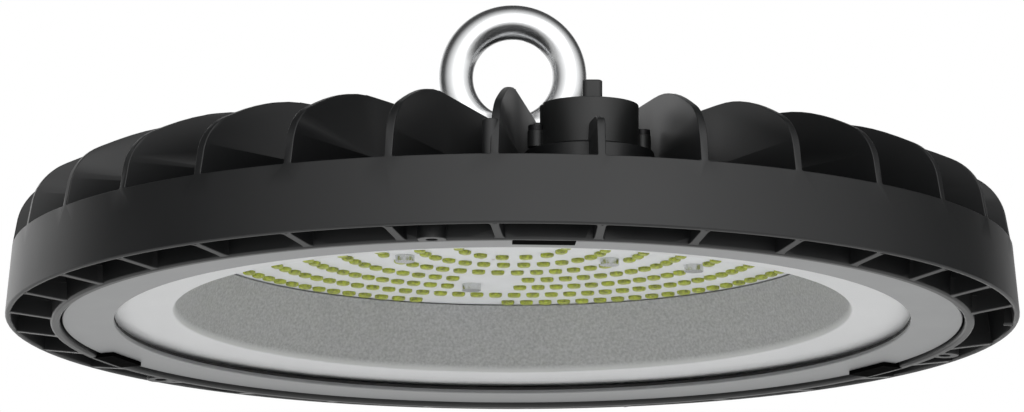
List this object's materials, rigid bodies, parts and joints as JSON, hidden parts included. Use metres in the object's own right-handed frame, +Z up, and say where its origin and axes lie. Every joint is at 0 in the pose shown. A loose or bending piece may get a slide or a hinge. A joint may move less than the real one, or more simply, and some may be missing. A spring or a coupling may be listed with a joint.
{
  "type": "high bay light",
  "caption": "Round black high bay light: finned die-cast heat sink with a rim band, glass lens over a ring-pattern LED board, silver trim ring, driver lid and ring eye bolt.",
  "frame": {"origin": "centre of the lens seat's bottom edge, the plane that the light rests on when it is set down lens first", "axes": "+Z up through the eye bolt, -Y towards the control port's cap"},
  "size_m": [0.3118, 0.3118, 0.1003],
  "materials": {
    "casting_coat": "matte black powder coat on die-cast aluminium, fine orange peel",
    "trim_coat": "satin silver-grey lacquer on pressed aluminium",
    "clip_nylon": "moulded black nylon",
    "seal_rubber": "black silicone rubber, matte",
    "lens_glass": "clear toughened float glass, ground edge",
    "reflector_white": "white reflective coat on spun aluminium, faint satin",
    "board_white": "aluminium-core board with white solder mask",
    "pad_grey": "grey silicone heat pad",
    "chip_phosphor": "yellow phosphor in silicone, in a white package",
    "bright_steel": "polished stainless steel",
    "zinc_steel": "bright zinc-plated steel",
    "sheet_film": "translucent polyester film",
    "driver_laminate": "green glass-epoxy laminate",
    "core_ferrite": "dark grey ferrite",
    "coil_tape": "yellow polyester tape over copper",
    "can_sleeve": "dark sleeve on an aluminium can",
    "choke_copper": "enamelled copper winding",
    "block_green": "moulded green polyamide",
    "bush_white": "white nylon bush",
    "pin_brass": "tinned brass",
    "gland_nylon": "moulded black nylon",
    "cap_nylon": "moulded black nylon, fine texture"
  },
  "bodies": {
    "root": {"heat_sink": "casting_coat", "driver_cover": "casting_coat", "trim_ring": "trim_coat", "ring_clips": "clip_nylon", "lens_gasket": "seal_rubber", "glass_lens": "lens_glass", "reflector": "reflector_white", "led_board": "board_white", "thermal_pad": "pad_grey", "board_screws": "zinc_steel", "led_chips": "chip_phosphor", "cover_gasket": "seal_rubber", "cover_screws": "zinc_steel", "eye_bolt": "bright_steel", "eye_bolt_seal": "seal_rubber", "insulation_sheet": "sheet_film", "driver_board": "driver_laminate", "driver_screws": "zinc_steel", "transformer_core": "core_ferrite", "transformer_coil": "coil_tape", "bulk_capacitors": "can_sleeve", "line_choke": "choke_copper", "terminal_block": "block_green", "link_bush": "bush_white", "link_pins": "pin_brass", "gland_body": "gland_nylon", "gland_seal": "seal_rubber", "gland_insert": "seal_rubber", "gland_nut": "gland_nylon", "port_gasket": "seal_rubber", "port_socket": "gland_nylon", "port_cap": "cap_nylon", "port_screws": "zinc_steel"}
  },
  "joints": []
}
